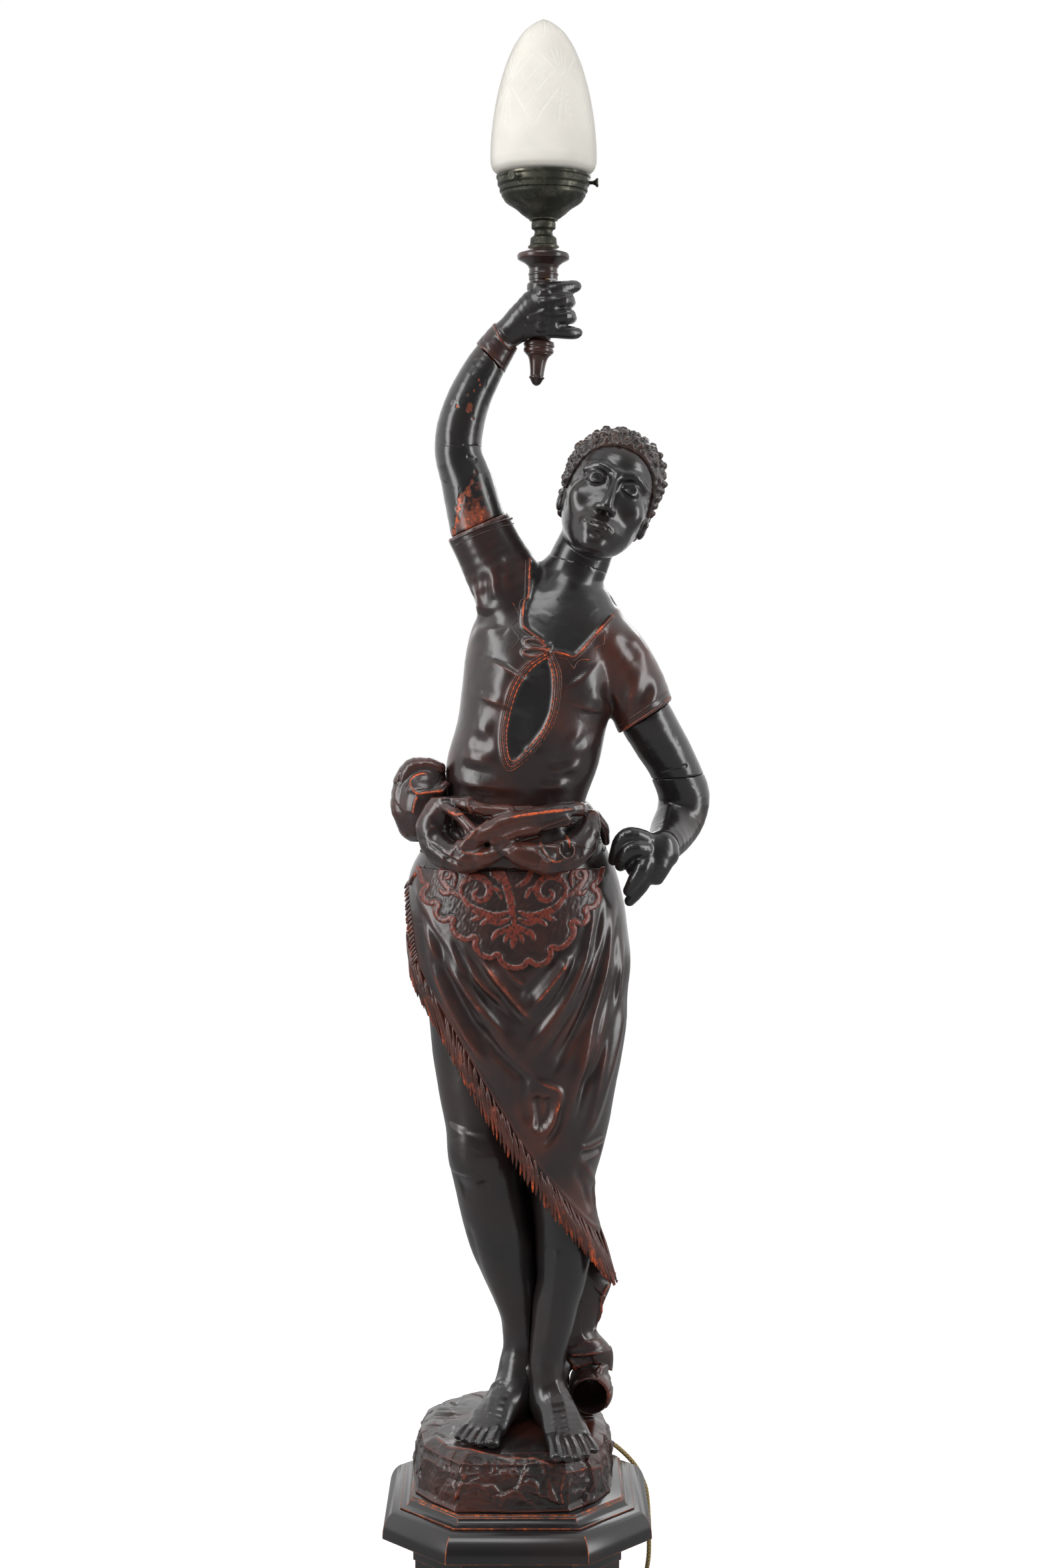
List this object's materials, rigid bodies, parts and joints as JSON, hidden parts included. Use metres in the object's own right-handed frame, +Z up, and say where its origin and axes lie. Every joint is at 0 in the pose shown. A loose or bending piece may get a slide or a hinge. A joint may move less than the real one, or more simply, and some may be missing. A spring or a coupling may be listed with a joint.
{
  "type": "figural table lamp",
  "caption": "Figural torchere lamp: carved standing figure on a rock and an eight-sided plinth, raising a turned torch with a brass gallery and a pointed cut-glass shade.",
  "frame": {"origin": "middle of the plinth's underside", "axes": "+Z up, the figure faces -Y, +X to the right of someone who looks at its front"},
  "size_m": [0.3408, 0.3604, 1.693],
  "materials": {
    "black_lacquer": "gloss black lacquer, worn at the arrises",
    "plain_wood": "bare",
    "steel": "satin",
    "rock_wood": "chiselled, dark brown lacquer with red-brown ridges",
    "skin_wood": "gloss black lacquer",
    "hair_wood": "satin, carved curls",
    "cloth_wood": "gloss dark brown lacquer over red, worn on the folds",
    "apron_wood": "red-brown ornament on a dark stippled ground",
    "torch_wood": "satin red-brown",
    "dark_brass": "dark patina, satin",
    "bright_brass": "satin",
    "porcelain": "gloss",
    "frosted_glass": "frosted, cut pattern",
    "bulb_metal": "satin",
    "bulb_glass": "frosted",
    "gold_flex": "woven cover",
    "dark_plastic": "matte"
  },
  "bodies": {
    "lamp": {"foot_moulding": "black_lacquer", "bottom_board": "plain_wood", "plinth_die": "black_lacquer", "plinth_neck": "black_lacquer", "plinth_cap": "black_lacquer", "cap_moulding": "black_lacquer", "base_screws": "steel", "rock_base": "rock_wood", "right_leg": "skin_wood", "left_leg": "skin_wood", "foot_dowels": "plain_wood", "drapery_tail": "cloth_wood", "drapery_roll": "cloth_wood", "skirt": "cloth_wood", "apron_panel": "apron_wood", "waist_sash": "cloth_wood", "side_knot": "cloth_wood", "torso": "cloth_wood", "head": "skin_wood", "hair_cap": "hair_wood", "right_upper_arm": "skin_wood", "right_forearm": "skin_wood", "right_cuff": "cloth_wood", "right_hand": "skin_wood", "left_upper_arm": "skin_wood", "left_forearm": "skin_wood", "left_hand": "skin_wood", "joint_dowels": "plain_wood", "torch_grip": "torch_wood", "torch_finial": "torch_wood", "torch_cup": "torch_wood", "torch_coupling": "dark_brass", "threaded_tube": "bright_brass", "lock_nut": "bright_brass", "gallery": "dark_brass", "holder_base": "bright_brass", "holder_shell": "bright_brass", "holder_insert": "porcelain", "contact_springs": "bright_brass", "bulb_cap": "bulb_metal", "bulb_glass": "bulb_glass", "inner_flex": "gold_flex", "cord_gland": "dark_plastic", "cord_run": "gold_flex", "cord_coil": "gold_flex", "coil_tie": "dark_plastic", "plug_body": "dark_plastic", "plug_pins": "steel"},
    "shade": {"glass_shade": "frosted_glass"},
    "screw_a": {"screw_shank_a": "dark_brass"},
    "screw_knob_a": {"screw_head_a": "dark_brass"},
    "screw_b": {"screw_shank_b": "dark_brass"},
    "screw_knob_b": {"screw_head_b": "dark_brass"},
    "screw_c": {"screw_shank_c": "dark_brass"},
    "screw_knob_c": {"screw_head_c": "dark_brass"}
  },
  "joints": [
    {"name": "shade_lift", "type": "slide", "parent": "lamp", "child": "shade", "axis": [0, 0, 1], "range_m": [0, 0.14]},
    {"name": "screw_a_travel", "type": "slide", "parent": "lamp", "child": "screw_a", "axis": [-0.5878, -0.809, 0], "range_m": [0, 0.0021]},
    {"name": "screw_a_turn", "type": "hinge", "parent": "screw_a", "child": "screw_knob_a", "pos_m": [-0.0028, -0.04102, 1.529], "axis": [-0.5878, -0.809, 0], "range_deg": [0, 1080]},
    {"name": "screw_b_travel", "type": "slide", "parent": "lamp", "child": "screw_b", "axis": [0.9945, -0.1045, 0], "range_m": [0, 0.0021]},
    {"name": "screw_b_turn", "type": "hinge", "parent": "screw_b", "child": "screw_knob_b", "pos_m": [0.07742, -0.0053, 1.529], "axis": [0.9945, -0.1045, 0], "range_deg": [0, 1080]},
    {"name": "screw_c_travel", "type": "slide", "parent": "lamp", "child": "screw_c", "axis": [-0.4067, 0.9135, 0], "range_m": [0, 0.0021]},
    {"name": "screw_c_turn", "type": "hinge", "parent": "screw_c", "child": "screw_knob_c", "pos_m": [0.00638, 0.04632, 1.529], "axis": [-0.4067, 0.9135, 0], "range_deg": [0, 1080]}
  ],
  "couplings": [
    {"joint": "screw_a_turn", "follows": "screw_a_travel", "rad_per_m": 8975},
    {"joint": "screw_b_turn", "follows": "screw_b_travel", "rad_per_m": 8975},
    {"joint": "screw_c_turn", "follows": "screw_c_travel", "rad_per_m": 8975}
  ]
}
